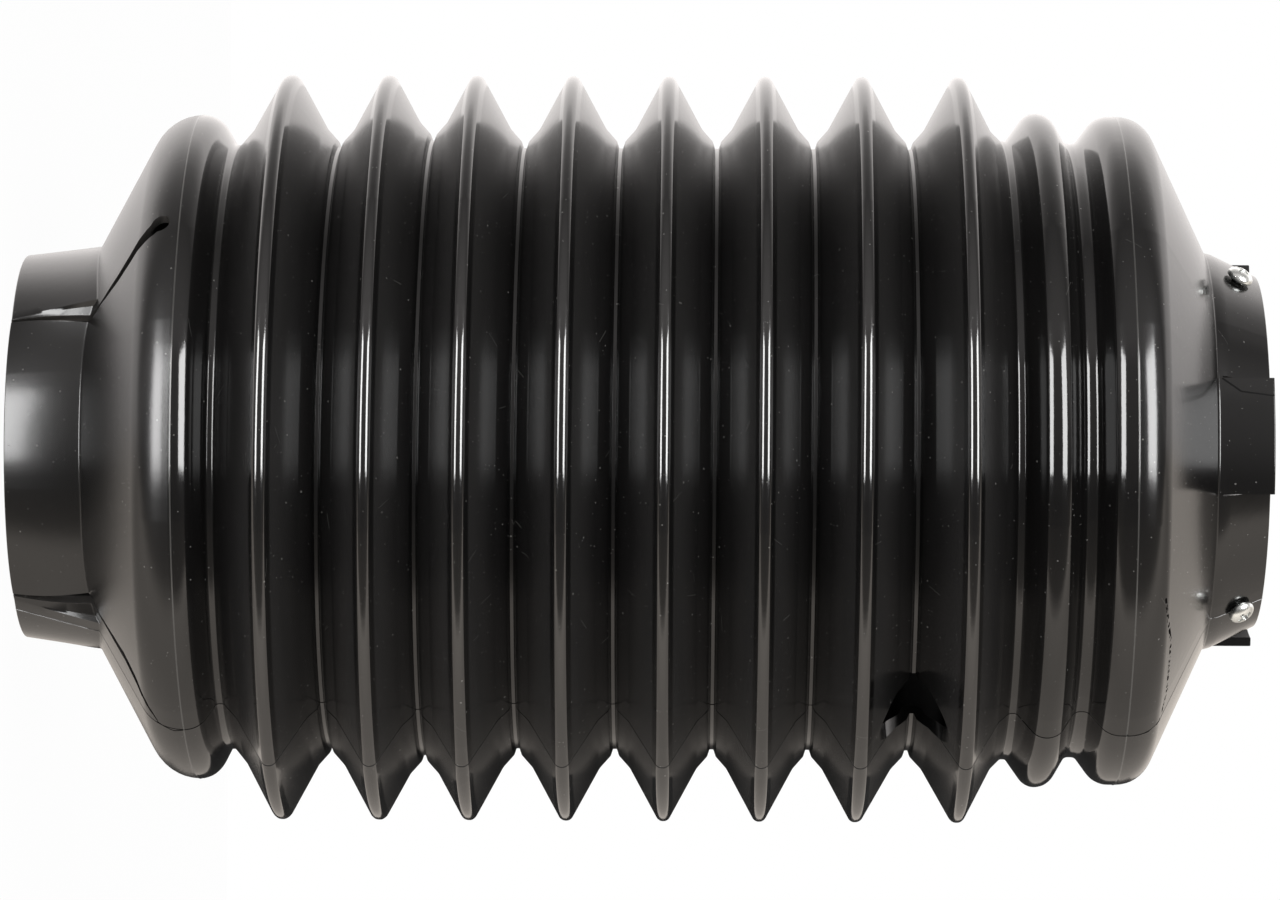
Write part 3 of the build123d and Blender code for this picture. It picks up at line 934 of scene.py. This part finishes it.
def floor_piece():
    """White to the camera apart from a little shadow, plain light grey to the light that falls on it."""
    half, near_y, far_y = 0.55, -0.5, 0.6
    corners = [(-half, near_y, 0), (half, near_y, 0), (half, far_y, 0), (-half, far_y, 0)]
    piece, tree, shader = sheet("floor", corners, "pale_floor", 0.9)
    glow = node(tree, "Emission", Color=(1, 1, 1, 1), Strength=1.0)
    share = math_node(tree, "MULTIPLY", node(tree, "LightPath").outputs["Is Camera Ray"], 0.97)
    mix = node(tree, "MixShader", i0=share, i1=shader.outputs[0], i2=glow.outputs[0])
    tree.links.new(mix.outputs[0], tree.nodes["Material Output"].inputs["Surface"])
    piece.visible_glossy = piece.visible_shadow = False


floor_piece()


# %% Black flag
def flag_piece():
    """A black card behind the folds, seen in reflections only: painted shade in their reflections, standing
    in for the shaded table under the boot, it keeps glare off their undersides.
    """
    (low, high), (left, right), behind = (0.06, 0.142), (0.0, 0.33), 0.11
    corners = [(low, behind, left), (high, behind, left), (high, behind, right), (low, behind, right)]
    piece, _, _ = sheet("flag", corners, "black_card", 0.01)
    piece.visible_camera = piece.visible_diffuse = piece.visible_shadow = False


flag_piece()


# %% Lights
def softbox(name, centre, target, width, height, level, glossy):
    """A rectangular light whose face has the brightness level; glossy ones are only seen in reflections."""
    lamp = bpy.data.lights.new(name, "AREA")
    lamp.shape, lamp.size, lamp.size_y = "RECTANGLE", width, height
    lamp.energy = level * width * height * math.pi
    piece = bpy.data.objects.new(name, lamp)
    bpy.context.scene.collection.objects.link(piece)
    piece.location = centre
    back = (Vector(centre) - Vector(target)).normalized()
    side = Vector((1, 0, 0)) if abs(back.x) < 0.9 else Vector((0, 0, 1))
    tall = (side - back * side.dot(back)).normalized()
    axes = Matrix((tall.cross(back), tall, back)).transposed().to_4x4()
    piece.matrix_world = Matrix.Translation(centre) @ axes
    piece.visible_camera = False
    piece.visible_glossy, piece.visible_diffuse = glossy, not glossy
    return piece


middle = (0, 0, 0.17)
softbox("left_box", (-0.375, -1.45, -1.03), middle, 0.78, 1.28, 16.5, True)
softbox("right_box", (-0.375, -1.42, 1.39), middle, 0.92, 1.28, 16.5, True)
softbox("plain_key", (-0.9, -1.4, 1.3), middle, 1.2, 1.2, 2.6, False)
softbox("plain_fill", (0.9, -1.2, 0.6), middle, 1.2, 1.2, 1.5, False)

# %% [markdown]
# ## Camera
# The boot lies across the picture with its foot to the left, so the camera's right is the boot's +Z.
# %% Camera
def camera():
    data = bpy.data.cameras.new("camera")
    data.sensor_width, data.lens = 36.0, 146.25
    piece = bpy.data.objects.new("camera", data)
    bpy.context.scene.collection.objects.link(piece)
    eye, aim = Vector((0.36, -1456.0, 192.4)) * MM, Vector((0.36, 0.0, 171.4)) * MM
    ahead = (aim - eye).normalized()
    up = Vector((-1, 0, 0))
    right = ahead.cross(up)
    roll = math.radians(0.26)
    right, up = right * math.cos(roll) + up * math.sin(roll), up * math.cos(roll) - right * math.sin(roll)
    piece.matrix_world = Matrix.Translation(eye) @ Matrix((right, up, -ahead)).transposed().to_4x4()
    bpy.context.scene.camera = piece
    bpy.context.scene.view_settings.view_transform = "Standard"


camera()
